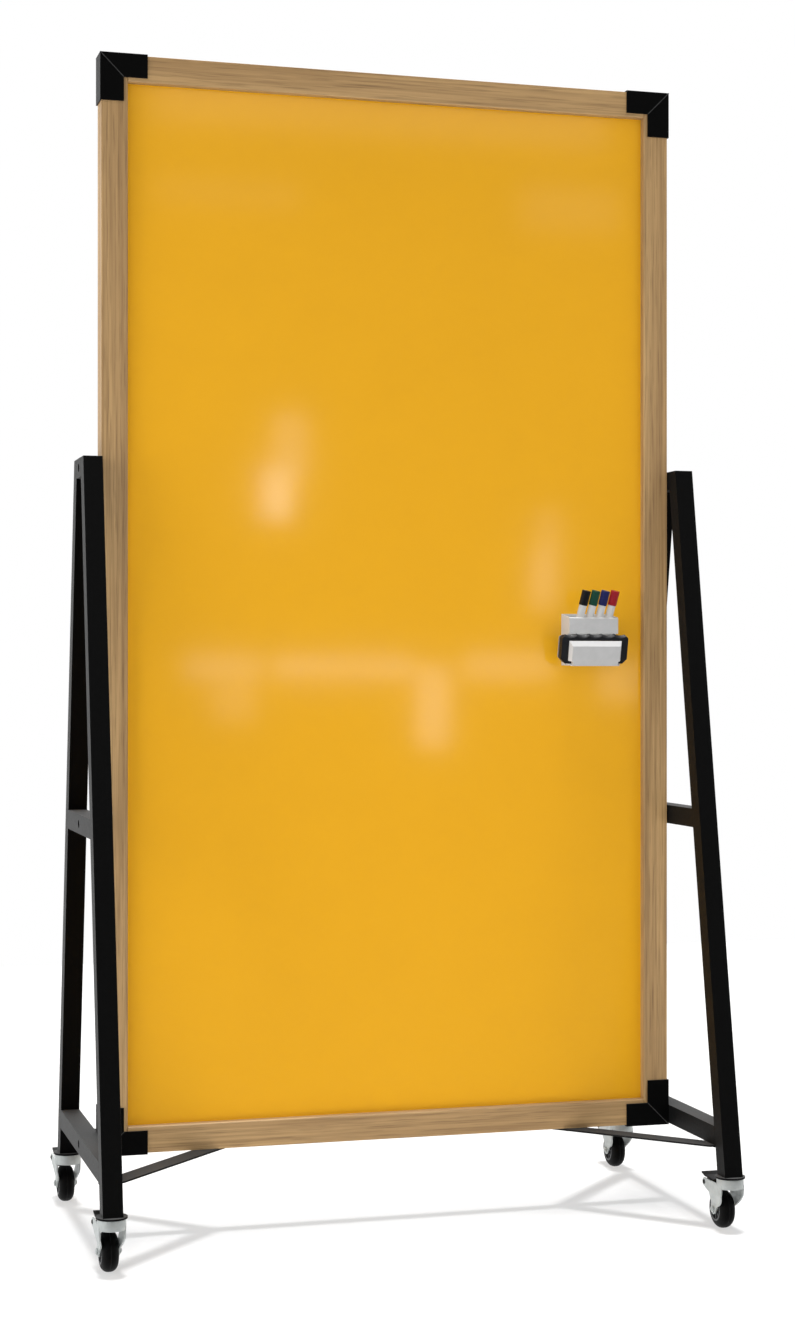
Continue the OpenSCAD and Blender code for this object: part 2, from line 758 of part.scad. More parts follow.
// The tray's front plate with its bevelled top and sides, in the pocket's frame
module tray_plate() {
    front = eraser_t + loose_gap + tray_t;
    back = front - tray_t;
    foot = -caddy_wall;
    head = tray_h - caddy_wall;
    difference() {
        rotate([90, 0, -90]) linear_extrude(tray_w, center = true) {
            polygon([[back, foot], [front, foot], [front, head - tray_bevel_h],
                [front - tray_bevel_d, head], [back, head]]);
            translate([-loose_gap - caddy_wall / 2, foot])
                square([back + loose_gap + caddy_wall, caddy_wall]);
        }
        for (flip = [0, 1]) mirror([flip, 0, 0]) translate([0, 0, foot - cut])
            linear_extrude(tray_h + 2 * cut)
                polygon([[tray_w / 2 - tray_bevel_w, -front], [tray_w / 2, tray_bevel_d - front],
                    [tray_w / 2 + cut, -front - cut], [tray_w / 2 - tray_bevel_w, -front - cut]]);
        for (flip = [0, 1]) mirror([flip, 0, 0]) translate([tray_w / 2 - tray_notch_w, -front - cut, 0])
            cube([tray_notch_w + cut, tray_t + 2 * cut, tray_notch_h]);
    }
}

module magnets() {
    for (side = [-1, 1], up = [cup_floor / 2, cup_front - magnet_d])
        translate([side * cup_w / 4, 0, up]) rotate([90, 0, 0]) children();
}

module marker_caddy() {
    color("#c9c9c9") {
        at_caddy() difference() {
            caddy_outline(cup_w) cup_outline();
            caddy_outline(cup_w - 2 * caddy_wall) cup_hollow();
            magnets() translate([0, 0, -cut]) cylinder(d = magnet_d + 2 * seat_fit, h = magnet_t + cut);
        }
        in_pocket() tray_plate();
    }
}

module caddy_magnets() {
    color("#6d6d70") at_caddy() magnets() cylinder(d = magnet_d, h = magnet_t);
}

// Front outline of the eraser, with chamfered corners
module eraser_outline() {
    half = eraser_l / 2;
    c = eraser_chamfer;
    polygon([[c - half, 0], [half - c, 0], [half, c], [half, eraser_h - c], [half - c, eraser_h],
        [c - half, eraser_h], [-half, eraser_h - c], [-half, c]]);
}

// Scallops across the eraser's top, along a slope that leaves the ridge at an angle
module waves(angle) {
    for (k = [-2 : 2]) translate([k * wave_pitch, -ridge_t, eraser_h]) rotate([angle, 0, 0])
        translate([0, 0, wave_r - wave_depth]) rotate([90, 0, 0])
            cylinder(r = wave_r, h = 4 * eraser_t, center = true);
}

// The eraser in the pocket's frame, cut to an end outline drawn outwards and upwards
module eraser_block() {
    difference() {
        intersection() {
            rotate([90, 0, 0]) linear_extrude(eraser_t) eraser_outline();
            rotate([90, 0, -90]) linear_extrude(2 * eraser_l, center = true) children();
        }
        waves(atan(eraser_drop_front / eraser_slope_t));
        waves(-atan(eraser_drop_back / ridge_t));
    }
}

module eraser_body() {
    color("#17181b") in_pocket() eraser_block()
        polygon([[felt_t, 0], [eraser_t, 0], [eraser_t, eraser_h - eraser_drop_front],
            [ridge_t, eraser_h], [felt_t, felt_top]]);
}

module eraser_felt() {
    color("#5a5a5c") in_pocket() eraser_block()
        polygon([[0, 0], [felt_t, 0], [felt_t, felt_top], [0, eraser_h - eraser_drop_back]]);
}

// Markers, drawn upwards from the foot of the barrel

module at_marker(k) {
    in_pocket() translate([marker_x + k * marker_pitch, marker_back, marker_foot])
        rotate([0, marker_lean, 0]) children();
}

module marker(k) {
    color("#d8d8d8") at_marker(k) {
        cylinder(d = marker_d, h = marker_l);
        cylinder(d = neck_d, h = marker_l + neck_l);
        cylinder(d = nib_d, h = marker_l + neck_l + nib_l);
    }
}

module marker_cap(k) {
    color(inks[k][1]) at_marker(k) translate([0, 0, marker_l]) difference() {
        cylinder(d = cap_d, h = cap_l);
        translate([0, 0, -cut]) cylinder(d = neck_d + 2 * run_fit, h = neck_l + nib_l + 2 * cut);
    }
}

stile(1);  // left_stile
stile(0);  // right_stile
top_rail();
bottom_rail();
panel_core();
sheet(-1);  // front_sheet
sheet(1);  // back_sheet
top_bracket(1);  // top_left_bracket
top_bracket(0);  // top_right_bracket
bottom_bracket(1);  // bottom_left_bracket
bottom_bracket(0);  // bottom_right_bracket
for (s = sides) {
    front_leg(s[1]);
    back_leg(s[1]);
    top_bar(s[1]);
    mid_bar(s[1]);
    low_bar(s[1]);
    braces(s[1]);
}
side_bolts();
threaded_inserts();
spacer_washers();
brace_screws();
caster_stems();
for (c = casters) {
    at_caster(c) caster_fork();
    at_caster(c) caster_pins();
    at_caster(c) caster_tyre();
    at_caster(c) caster_hub();
    at_caster(c) caster_brake_pedal();
}
marker_caddy();
caddy_magnets();
eraser_body();
eraser_felt();
for (k = [0 : len(inks) - 1]) {
    marker(k);
    marker_cap(k);
}
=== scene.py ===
import json
import math

import bmesh
import bpy
from mathutils import Matrix, Vector


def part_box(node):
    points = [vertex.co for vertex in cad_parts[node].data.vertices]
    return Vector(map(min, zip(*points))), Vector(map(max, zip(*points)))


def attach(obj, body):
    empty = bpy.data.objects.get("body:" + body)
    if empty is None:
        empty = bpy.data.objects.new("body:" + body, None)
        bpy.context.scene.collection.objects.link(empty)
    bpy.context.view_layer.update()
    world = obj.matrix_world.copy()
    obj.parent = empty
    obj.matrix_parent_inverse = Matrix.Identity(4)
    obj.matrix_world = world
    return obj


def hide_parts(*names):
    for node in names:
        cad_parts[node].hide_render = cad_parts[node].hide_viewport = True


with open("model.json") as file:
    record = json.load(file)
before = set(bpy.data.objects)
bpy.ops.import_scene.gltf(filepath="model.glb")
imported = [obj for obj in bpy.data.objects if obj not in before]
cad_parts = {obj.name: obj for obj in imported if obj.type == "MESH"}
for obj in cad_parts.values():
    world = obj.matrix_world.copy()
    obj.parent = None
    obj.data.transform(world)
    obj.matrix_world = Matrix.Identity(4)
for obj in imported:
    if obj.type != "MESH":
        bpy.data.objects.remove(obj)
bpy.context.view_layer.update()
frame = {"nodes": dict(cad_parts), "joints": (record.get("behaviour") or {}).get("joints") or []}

# The board's frame: two oak stiles and two oak rails, butt-jointed with stub tenons at the corners.
# The oak is planed along the grain, sanded, and sealed with a clear satin lacquer, with its sharp
# edges eased by hand.
MM = 0.001
ALONG_X = 0
ALONG_Z = 2
OAK_PALE = "#C29E6A"
OAK_BROWN = "#A17F52"
OAK_STREAK = "#8A6A42"
OAK_PORE = "#6E5231"
OAK_ROUGHNESS = (0.44, 0.58)
OAK_EASED = 0.7 * MM
WELD_WITHIN = 0.01 * MM
FLAT_WITHIN = 0.5
SHARP_FROM = 35
EASED_STEPS = 2
# Each layer of the grain has its width and length in mm, and the part of the noise that shows.
# Real pores are about 0.3 mm wide; they are drawn wider so that they show in the picture.
BAND_LAYER = (20, 800, 0.3, 0.7)
STREAK_LAYER = (4.5, 260, 0.38, 0.66)
PORE_LAYER = (1.9, 70, 0.52, 0.72)
LAYER_DETAIL = 3.0
STREAK_SHARE = 0.6
PORE_SHARE = 0.55
PORE_STRENGTH = 0.35
PORE_DEPTH = 0.15 * MM


def linear(colour):
    """An sRGB hex colour as linear RGBA."""
    parts = [int(colour[k:k + 2], 16) / 255 for k in (1, 3, 5)]
    return [c / 12.92 if c <= 0.04045 else ((c + 0.055) / 1.055) ** 2.4 for c in parts] + [1.0]


def add(tree, kind, inputs=None, **settings):
    """Adds one shader node, with its settings, and fills its sockets with values or links."""
    made = tree.nodes.new("ShaderNode" + kind)
    for name, value in settings.items():
        setattr(made, name, value)
    for socket, value in (inputs or {}).items():
        if isinstance(value, bpy.types.NodeSocket):
            tree.links.new(value, made.inputs[socket])
        else:
            made.inputs[socket].default_value = value
    return made


def blank(name):
    """A new material and its empty node tree."""
    material = bpy.data.materials.new(name)
    material.use_nodes = True
    material.node_tree.nodes.clear()
    return material, material.node_tree


def surface(tree, inputs):
    """Ends a material in one shader with these inputs."""
    shader = add(tree, "BsdfPrincipled", inputs)
    add(tree, "OutputMaterial", {"Surface": shader.outputs[0]})


def dress(material, *nodes, eased=0.0):
    """Gives pieces of the frame their finish, and rounds their sharp edges by the radius given."""
    for node in nodes:
        piece = frame["nodes"][node]
        for slot in piece.material_slots:
            slot.material = material
        if eased:
            piece.modifiers.new("joined_faces", "WELD").merge_threshold = WELD_WITHIN
            flat = piece.modifiers.new("whole_faces", "DECIMATE")
            flat.decimate_type = "DISSOLVE"
            flat.angle_limit = math.radians(FLAT_WITHIN)
            bevel = piece.modifiers.new("eased_edges", "BEVEL")
            bevel.width = eased
            bevel.segments = EASED_STEPS
            bevel.angle_limit = math.radians(SHARP_FROM)
            bevel.harden_normals = True


def blend(tree, share, one, other):
    """Mixes two colours by a share. The Mix node's colour sockets are known only by their places."""
    mixed = add(tree, "Mix", {0: share, 6: one, 7: other}, data_type="RGBA")
    return mixed.outputs[2]


def ranged(tree, value, low, high):
    """Spreads a value that runs from 0 to 1 between two limits."""
    return add(tree, "MapRange", {"Value": value, "To Min": low, "To Max": high}).outputs[0]


def planed_oak(name, grain):
    """Oak planed along one axis: long straight streaks, dark pores and a soft low gloss."""
    material, tree = blank(name)
    place = add(tree, "TexCoord").outputs["Object"]
    layers = []
    for width, length, low, high in (BAND_LAYER, STREAK_LAYER, PORE_LAYER):
        scale = [1 / (width * MM)] * 3
        scale[grain] = 1 / (length * MM)
        stretched = add(tree, "Mapping", {"Vector": place, "Scale": scale}).outputs[0]
        noise = add(tree, "TexNoise", {"Vector": stretched, "Scale": 1.0, "Detail": LAYER_DETAIL})
        shown = {"Value": noise.outputs[0], "From Min": low, "From Max": high}
        layers.append(add(tree, "MapRange", shown).outputs[0])
    bands, streaks, pores = layers
    streaked = add(tree, "Math", {0: streaks, 1: STREAK_SHARE}, operation="MULTIPLY").outputs[0]
    pored = add(tree, "Math", {0: pores, 1: PORE_SHARE}, operation="MULTIPLY").outputs[0]
    wood = blend(tree, bands, linear(OAK_PALE), linear(OAK_BROWN))
    wood = blend(tree, streaked, wood, linear(OAK_STREAK))
    wood = blend(tree, pored, wood, linear(OAK_PORE))
    fibres = add(tree, "Bump", {"Height": pores, "Strength": PORE_STRENGTH, "Distance": -PORE_DEPTH})
    surface(tree, {"Base Color": wood, "Roughness": ranged(tree, streaks, *OAK_ROUGHNESS),
                   "Normal": fibres.outputs[0], "IOR": 1.5})
    return material


dress(planed_oak("oak_planed_upright", ALONG_Z), "left_stile", "right_stile", eased=OAK_EASED)
dress(planed_oak("oak_planed_level", ALONG_X), "top_rail", "bottom_rail", eased=OAK_EASED)

# The panel's core is fibreboard, sawn to size and held in the frame's groove.
# Pressed wood fibre looks dull brown with a fine mottle; it is seen only where the frame is open.
CORE_TONES = ("#94836A", "#7E6E57")
CORE_FIBRE = 3.0
GRAIN_DETAIL = 4.0
GRAIN_LOW = 0.3
GRAIN_HIGH = 0.7
GRAIN_STRENGTH = 0.5


def cloud(tree, grain, detail):
    """Cloudy noise with a grain in mm, fixed to the piece."""
    place = add(tree, "TexCoord").outputs["Object"]
    return add(tree, "TexNoise", {"Vector": place, "Scale": 1 / (grain * MM), "Detail": detail}).outputs[0]


def grained(name, tones, grain, roughness, height=0.0, **sockets):
    """A finish whose colour wanders between two tones, with gloss and height in the same grain, in mm."""
    material, tree = blank(name)
    noise = cloud(tree, grain, GRAIN_DETAIL)
    even = add(tree, "MapRange", {"Value": noise, "From Min": GRAIN_LOW, "From Max": GRAIN_HIGH}).outputs[0]
    inputs = {socket.replace("_", " "): value for socket, value in sockets.items()}
    inputs["Base Color"] = blend(tree, even, linear(tones[0]), linear(tones[1]))
    inputs["Roughness"] = ranged(tree, even, *roughness)
    if height:
        bump = add(tree, "Bump", {"Height": noise, "Strength": GRAIN_STRENGTH, "Distance": height * MM})
        inputs["Normal"] = bump.outputs[0]
    surface(tree, inputs)
    return material


fibreboard = grained("fibreboard_sawn", CORE_TONES, grain=CORE_FIBRE, roughness=(0.8, 0.95), height=0.2)
dress(fibreboard, "panel_core")

# The writing faces: thin steel sheets bonded to both sides of the core.
# They carry a coat of yellow glass enamel, fired on, so they are hard, even and glossy, with a very
# slight waviness that softens what they reflect.
ENAMEL_TONES = ("#E4A722", "#E1A420")
ENAMEL_MOTTLE = 120.0
ENAMEL_WAVE = 45.0
ENAMEL_WAVE_HEIGHT = 0.02
ENAMEL_WAVE_STRENGTH = 0.3
ENAMEL_DETAIL = 2.0
ENAMEL_ROUGHNESS = (0.06, 0.09)

enamel, tree = blank("enamel_fired_gloss")
mottle = cloud(tree, ENAMEL_MOTTLE, ENAMEL_DETAIL)
wave = cloud(tree, ENAMEL_WAVE, ENAMEL_DETAIL)
ripple = add(tree, "Bump", {"Height": wave, "Strength": ENAMEL_WAVE_STRENGTH,
                            "Distance": ENAMEL_WAVE_HEIGHT * MM})
surface(tree, {"Base Color": blend(tree, mottle, linear(ENAMEL_TONES[0]), linear(ENAMEL_TONES[1])),
               "Roughness": ranged(tree, mottle, *ENAMEL_ROUGHNESS),
               "Normal": ripple.outputs[0], "IOR": 1.5})
dress(enamel, "front_sheet", "back_sheet")

# The corner brackets: folded steel plate that wraps each corner of the oak, mitred and welded.
# They are powder-coated black, as the side frames are: a baked-on satin skin with a fine orange peel,
# near black face on and grey where light grazes it. Their upward faces are painted a paler grey: a painted
# highlight for the light from above.
COAT_TONES = ("#050505", "#070707")
COAT_PEEL = 4.0
# The paler grey painted on upward faces as a highlight, and the facings at which it starts and is full.
COAT_TOP_HIGHLIGHT = "#363636"
TOP_HIGHLIGHT_LIMITS = (0.6, 0.95)
UPWARD = (0, 0, 1)
BRACKET_EASED = 0.3 * MM
BRACKET_BAND = 39.5 * MM
MITRE_WIDTH = 1.5 * MM
MITRE_PROUD = 0.2 * MM
# The mitre strip is coloured pale grey: a painted highlight where the mitred edge catches light.
MITRE_HIGHLIGHT_TONES = ("#2E2E2E", "#3A3A3A")

powder_coat = grained("steel_powder_coated", COAT_TONES, grain=COAT_PEEL, roughness=(0.52, 0.6),
                      height=0.03, IOR=1.5, Specular_IOR_Level=0.08, Sheen_Weight=0.1, Sheen_Roughness=0.3)
mitre_highlight_coat = grained("mitre_painted_highlight", MITRE_HIGHLIGHT_TONES, grain=COAT_PEEL, roughness=(0.3, 0.4), IOR=1.5)


def paint_facing_light(material, tone, way, none, full):
    """Paints light or shade into a finish: mixes a tone in by how squarely a face looks one way, from none
    of it to all.
    """
    tree = material.node_tree
    colour = tree.nodes["Principled BSDF"].inputs["Base Color"]
    normal = add(tree, "TexCoord").outputs["Normal"]
    looks = add(tree, "VectorMath", {0: normal, 1: way}, operation="DOT_PRODUCT").outputs["Value"]
    share = add(tree, "MapRange", {"Value": looks, "From Min": none, "From Max": full}).outputs[0]
    tree.links.new(blend(tree, share, colour.links[0].from_socket, linear(tone)), colour)


# Painted highlight: faces that look up are mixed towards a paler grey, in place of the light from above.
paint_facing_light(powder_coat, COAT_TOP_HIGHLIGHT, UPWARD, *TOP_HIGHLIGHT_LIMITS)


def fit(name, mesh, matrix, body, slot, *nodes):
    """Sets a piece in its place on a body, where it stands for the frame's nodes that are named."""
    piece = bpy.data.objects.new(name, mesh)
    bpy.context.scene.collection.objects.link(piece)
    piece.matrix_world = matrix
    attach(piece, body)
    if nodes:
        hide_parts(*nodes)
    return piece


def shaped(name, made, material, sharp=SHARP_FROM):
    """Turns a drawn shape into a mesh with its finish, smooth but for edges sharper than the angle."""
    bmesh.ops.recalc_face_normals(made, faces=made.faces)
    for face in made.faces:
        face.smooth = True
    mesh = bpy.data.meshes.new(name)
    made.to_mesh(mesh)
    made.free()
    mesh.set_sharp_from_angle(angle=math.radians(sharp))
    mesh.materials.append(material)
    return mesh


for corner in ("top_left", "top_right", "bottom_left", "bottom_right"):
    node = corner + "_bracket"
    dress(powder_coat, node, eased=BRACKET_EASED)
    low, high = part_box(node)
    outer = Vector((low.x if "left" in corner else high.x, 0, high.z if "top" in corner else low.z))
    inward = Vector((1 if "left" in corner else -1, 0, -1 if "top" in corner else 1))
    across = Vector((inward.z, 0, -inward.x)).normalized() * MITRE_WIDTH / 2
    made = bmesh.new()
    for face_y, out in ((low.y, -1), (high.y, 1)):
        ends = []
        for along in (0, BRACKET_BAND):
            foot = outer + inward * along + Vector((0, face_y, 0))
            ridge = foot + Vector((0, out * MITRE_PROUD, 0))
            ends.append([made.verts.new(p) for p in (foot - across, ridge, foot + across)])
        for k in range(3):
            made.faces.new((ends[0][k], ends[0][(k + 1) % 3], ends[1][(k + 1) % 3], ends[1][k]))
        for end in ends:
            made.faces.new(end)
    # A thin proud strip along each mitre, in the grey of the painted highlight.
    mitre = shaped(corner + "_mitre", made, mitre_highlight_coat)
    fit(corner + "_mitre_highlight_strip", mitre, Matrix.Identity(4), "stand", "black_powder_coat")

# The side frames: square steel tube, two slanting legs joined by three cross bars, welded and coated.
# The welds are ground flush before coating, so the joints show only as creases.
TUBE_EASED = 1.2 * MM

for side in ("left", "right"):
    for bar in ("front_leg", "back_leg", "top_bar", "mid_bar", "low_bar"):
        dress(powder_coat, f"{side}_{bar}", eased=TUBE_EASED)

# The braces: flat steel bars from under the board to the low bars, sheared, drilled and coated black.
# Their coat is thinner and duller than the tubes', and blackened pan-head screws hold them from below.
BRACE_EASED = 0.4 * MM
BRACE_TONES = ("#171717", "#1C1C1C")
BLACKENED_TONES = ("#1A1A1A", "#242424")

blackened = grained("steel_blackened", BLACKENED_TONES, grain=3.0, roughness=(0.4, 0.55), Metallic=1.0)
dull_coat = grained("steel_powder_coated_dull", BRACE_TONES, grain=COAT_PEEL, roughness=(0.6, 0.7),
                    height=0.03, IOR=1.5, Specular_IOR_Level=0.06)
# Painted highlight: the braces' upward faces are mixed towards a paler grey, as on the tubes.
paint_facing_light(dull_coat, COAT_TOP_HIGHLIGHT, UPWARD, *TOP_HIGHLIGHT_LIMITS)
dress(dull_coat, "left_braces", "right_braces", eased=BRACE_EASED)
dress(blackened, "brace_screws", "spacer_washers")

# The side bolts hold the board between the frames: socket-head steel bolts in brass inserts.
# The bolts are turned and left bright, and the inserts are knurled and pressed into the oak.
BRIGHT_TONES = ("#8A8D8F", "#9A9D9E")
BRASS_TONES = ("#B89B54", "#A58845")

bright_steel = grained("steel_turned_bright", BRIGHT_TONES, grain=2.0, roughness=(0.25, 0.4), Metallic=1.0)
brass = grained("brass_turned", BRASS_TONES, grain=2.0, roughness=(0.3, 0.4), Metallic=1.0)
dress(bright_steel, "side_bolts")
dress(brass, "threaded_inserts")

# The caster forks and stems: steel pressed to shape and zinc-plated, with a riveted swivel housing.
# Zinc plating is a pale grey metal with a faint cloudiness; its passivated skin scatters most of the light.
ZINC_TONES = ("#B4B8B7", "#A8ADAC")
ZINC_CLOUD = 9.0
FORK_EASED = 0.5 * MM
CORNERS = ("front_left", "front_right", "back_left", "back_right")

zinc = grained("zinc_plated_steel", ZINC_TONES, grain=ZINC_CLOUD, roughness=(0.42, 0.52), Metallic=0.4)
dress(zinc, "caster_stems")
for corner in CORNERS:
    dress(zinc, corner + "_fork", eased=FORK_EASED)

# The tyres: solid rubber rings moulded in two halves, with round shoulders and a fine mould line.
# Moulded rubber is a dull black that picks up a little grey dust.
RUBBER_TONES = ("#060606", "#0B0B0B")
TREAD_ROUND = 12.0 * MM
TYRE_PLAY = 0.02 * MM
MOULD_LINE = 0.5 * MM

rubber = grained("rubber_moulded", RUBBER_TONES, grain=5.0, roughness=(0.5, 0.65),
                 height=0.05, IOR=1.5, Specular_IOR_Level=0.1)


def seat(node, axis):
    """A round node's place, as a matrix with Z up its axis from its lower end, its radius and length."""
    along = Vector(axis).normalized()
    third = along.cross((0, 1, 0)).normalized()
    across = third.cross(along)
    points = [v.co for v in frame["nodes"][node].data.vertices]
    foot = Vector()
    for way in (across, third):
        reach = [p.dot(way) for p in points]
        foot += way * (min(reach) + max(reach)) / 2
        radius = (max(reach) - min(reach)) / 2
    heights = [p.dot(along) for p in points]
    foot += along * min(heights)
    matrix = Matrix((across, third, along)).transposed().to_4x4()
    matrix.translation = foot
    return matrix, radius, max(heights) - min(heights)


def arc(centre, radius, start, end, steps=8):
    """Points on an arc, from one angle to another in degrees."""
    turns = [math.radians(start + (end - start) * k / steps) for k in range(steps + 1)]
    return [(centre[0] + radius * math.cos(a), centre[1] + radius * math.sin(a)) for a in turns]


def turn(made, profile, sides=64, closed=False):
    """Turns (radius, height) points about Z; a closed profile joins its last point to its first."""
    rings = []
    for radius, height in profile:
        if radius == 0:
            rings.append([made.verts.new((0, 0, height))] * sides)
        else:
            spots = arc((0, 0), radius, 0, 360, sides)[:-1]
            rings.append([made.verts.new((x, y, height)) for x, y in spots])
    for lower, upper in zip(rings, rings[1:] + rings[:1] if closed else rings[1:]):
        for k in range(sides):
            after = (k + 1) % sides
            corners = list(dict.fromkeys((lower[k], lower[after], upper[after], upper[k])))
            if len(corners) > 2:
                made.faces.new(corners)


_, wheel_r, wheel_w = seat("front_left_tyre", (1, 0, 0))
_, hub_r, hub_w = seat("front_left_hub", (1, 0, 0))
bore = hub_r + TYRE_PLAY
half_w = wheel_w / 2
shoulder = wheel_r - TREAD_ROUND
wall_turn = math.degrees(math.acos((bore - shoulder) / TREAD_ROUND))
made = bmesh.new()
turn(made, arc((shoulder, TREAD_ROUND), TREAD_ROUND, -wall_turn, 0)
     + [(wheel_r, half_w - MOULD_LINE), (wheel_r - MOULD_LINE, half_w), (wheel_r, half_w + MOULD_LINE)]
     + arc((shoulder, wheel_w - TREAD_ROUND), TREAD_ROUND, 0, wall_turn), closed=True)
tyre = shaped("tyre", made, rubber)
for corner in CORNERS:
    matrix, _, _ = seat(corner + "_tyre", (1, 0, 0))
    fit(corner + "_tyre_rubber", tyre, matrix, corner + "_wheel", "tyre_rubber", corner + "_tyre")

# The hubs: grey polypropylene, moulded with a rim, a thin web and stiffening ribs on both faces.
# The ribs and the boss catch the light inside the dark tyre.
HUB_TONES = ("#333436", "#3E3F41")
HUB_RIM = 3.0 * MM
HUB_WEB = 6.0 * MM
HUB_BOSS_R = 8.0 * MM
HUB_BORE_R = 3.05 * MM
HUB_RIBS = 8
RIB_WIDTH = 2.0 * MM
RIB_SUNK = 1.5 * MM
RIB_OVERLAP = 1.0 * MM

hub_plastic = grained("polypropylene_moulded", HUB_TONES, grain=4.0, roughness=(0.4, 0.5),
                      height=0.03, IOR=1.49)
rim_r = hub_r - HUB_RIM
boss = (hub_w - wheel_w) / 2
web_low = (wheel_w - HUB_WEB) / 2
web_high = (wheel_w + HUB_WEB) / 2
made = bmesh.new()
turn(made, [(HUB_BORE_R, -boss), (HUB_BOSS_R, -boss), (HUB_BOSS_R, web_low), (rim_r, web_low), (rim_r, 0),
            (hub_r, 0), (hub_r, wheel_w), (rim_r, wheel_w), (rim_r, web_high), (HUB_BOSS_R, web_high),
            (HUB_BOSS_R, wheel_w + boss), (HUB_BORE_R, wheel_w + boss)], closed=True)
rib_inner = HUB_BOSS_R - RIB_OVERLAP
rib_outer = rim_r + RIB_OVERLAP
for k in range(HUB_RIBS):
    for low, high in ((RIB_SUNK, web_low + RIB_OVERLAP), (web_high - RIB_OVERLAP, wheel_w - RIB_SUNK)):
        centre = Vector(((rib_inner + rib_outer) / 2, 0, (low + high) / 2))
        size = Matrix.Diagonal((rib_outer - rib_inner, RIB_WIDTH, high - low, 1))
        turned = Matrix.Rotation(2 * math.pi * k / HUB_RIBS, 4, "Z")
        bmesh.ops.create_cube(made, matrix=turned @ Matrix.Translation(centre) @ size)
hub = shaped("hub", made, hub_plastic)
for corner in CORNERS:
    matrix, _, _ = seat(corner + "_tyre", (1, 0, 0))
    fit(corner + "_hub_moulding", hub, matrix, corner + "_wheel", "hub_plastic", corner + "_hub")

# The axles and pedal pins: each axle is a zinc-plated bolt with a hexagon nut at both ends.
# Each pedal pin is a blackened rivet with low domed heads outside the fork.
FORK_HALF = 16.7 * MM
FORK_TOP_HALF = 21.0 * MM
AXLE_R = 3.0 * MM
AXLE_END = 4.0 * MM
AXLE_CHAMFER = 0.5 * MM
NUT_R = 5.5 * MM
NUT_H = 3.0 * MM
NUT_CHAMFER_R = 0.8 * MM
NUT_CHAMFER_H = 0.6 * MM
PIN_R = 2.5 * MM
PIN_HEAD_R = 4.0 * MM
PIN_HEAD_H = 1.8 * MM

joints = {joint["name"]: joint for joint in frame["joints"]}
made = bmesh.new()
tip = FORK_HALF + AXLE_END
turn(made, [(0, -tip), (AXLE_R - AXLE_CHAMFER, -tip), (AXLE_R, AXLE_CHAMFER - tip),
            (AXLE_R, tip - AXLE_CHAMFER), (AXLE_R - AXLE_CHAMFER, tip), (0, tip)], sides=32)
for out in (-1, 1):
    inner = out * FORK_HALF
    outer = out * (FORK_HALF + NUT_H)
    turn(made, [(AXLE_R, inner), (NUT_R, inner), (NUT_R, outer - out * NUT_CHAMFER_H),
                (NUT_R - NUT_CHAMFER_R, outer), (AXLE_R, outer)], sides=6, closed=True)
axle = shaped("axle", made, zinc, sharp=25)
made = bmesh.new()
heads = [(PIN_HEAD_R * r, FORK_TOP_HALF + PIN_HEAD_H * h) for r, h in arc((0, 0), 1, 0, 90)[:-1]]
heads.append((0, FORK_TOP_HALF + PIN_HEAD_H))
shank = [(PIN_R, -FORK_TOP_HALF), (PIN_R, FORK_TOP_HALF)]
turn(made, [(r, -h) for r, h in reversed(heads)] + shank + heads, sides=32)
pin = shaped("pin", made, blackened)
for corner in CORNERS:
    for name, mesh, joint, slot, nodes in (("axle_bolt", axle, "wheel_spin", "zinc", [corner + "_pins"]),
                                           ("pedal_rivet", pin, "brake_press", "black_fixings", [])):
        pivot = joints[f"{corner}_{joint}"]["pos_m"]
        spot = Matrix.Translation(pivot) @ Matrix.Rotation(math.pi / 2, 4, "Y")
        fit(f"{corner}_{name}", mesh, spot, corner + "_swivel", slot, *nodes)

# The brake pedals: glass-filled nylon, moulded in one piece with the brake shoe, on the pedal pin.
# The moulded face has a fine spark-eroded texture that turns the black to dark grey under light.
PEDAL_TONES = ("#0A0A0B", "#101011")
PEDAL_EASED = 0.5 * MM

nylon = grained("nylon_textured", PEDAL_TONES, grain=2.5, roughness=(0.5, 0.6),
                height=0.08, IOR=1.53, Specular_IOR_Level=0.2)
for corner in CORNERS:
    dress(nylon, corner + "_brake_pedal", eased=PEDAL_EASED)

# The caddy: a marker cup and an eraser tray moulded as one piece in pale grey polystyrene.
# The sides and the slanted edges are painted paler than the flat fronts: a painted highlight for the light
# from above and the left. Ferrite magnets are glued into the back and hold it on the steel face of the
# board.
CADDY_TONES = ("#B4B4B4", "#AEAEAE")
CADDY_SIDE_HIGHLIGHT = "#C4C4C4"
SIDE_HIGHLIGHT_LIMITS = (0.97, 0.93)
FORWARD = (0, -1, 0)
CADDY_EASED = 0.5 * MM
FERRITE_TONES = ("#505054", "#5E5E62")

polystyrene = grained("polystyrene_moulded", CADDY_TONES, grain=12.0, roughness=(0.35, 0.42),
                      height=0.01, IOR=1.55)
# Painted highlight: faces turned away from the front are mixed towards a paler grey.
paint_facing_light(polystyrene, CADDY_SIDE_HIGHLIGHT, FORWARD, *SIDE_HIGHLIGHT_LIMITS)
ferrite = grained("ferrite_pressed", FERRITE_TONES, grain=1.5, roughness=(0.6, 0.75), height=0.05)
dress(polystyrene, "marker_caddy", eased=CADDY_EASED)
dress(ferrite, "caddy_magnets")

# The eraser: a black moulded grip with a waved top, and a pad of grey felt glued to its back.
# The grip has a fine matt texture, and the felt is pressed wool with a soft fuzzy surface.
ERASER_TONES = ("#15161A", "#1C1D21")
ERASER_EASED = 0.8 * MM
FELT_TONES = ("#565658", "#6A6A6C")
FELT_CELL = 1.2 * MM
FELT_FUZZ = 0.25 * MM
FELT_SOFTENING = 3

